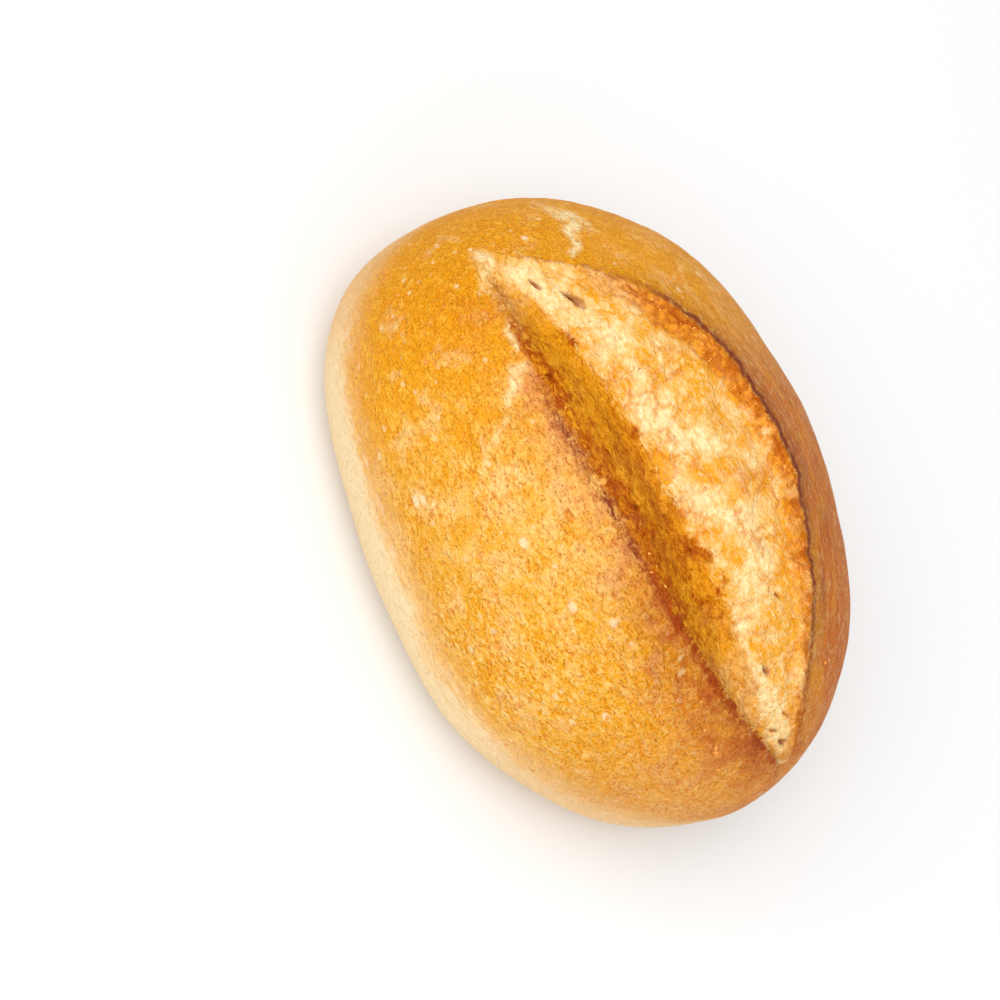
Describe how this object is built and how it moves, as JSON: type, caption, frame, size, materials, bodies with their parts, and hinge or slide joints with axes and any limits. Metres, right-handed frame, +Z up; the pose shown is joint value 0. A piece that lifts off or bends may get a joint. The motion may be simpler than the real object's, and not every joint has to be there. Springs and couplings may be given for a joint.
{
  "type": "bread roll",
  "caption": "Oval crusty wheat bread roll with a flat base and one deep lengthwise split that opens to an ear.",
  "frame": {"origin": "middle of the flat base, below the centre of the roll's bounding box", "axes": "+X along the length, towards the tapered end of the split; +Z up; +Y towards the lobe that carries the ear"},
  "size_m": [0.106, 0.0766, 0.0519],
  "materials": {
    "crust": "baked bread crust: golden and semi-matt on the lobes, pale torn crumb in the split, toasted brown along the ear and the lip, cream low on the left flank"
  },
  "bodies": {
    "root": {"roll": "crust"}
  },
  "joints": []
}
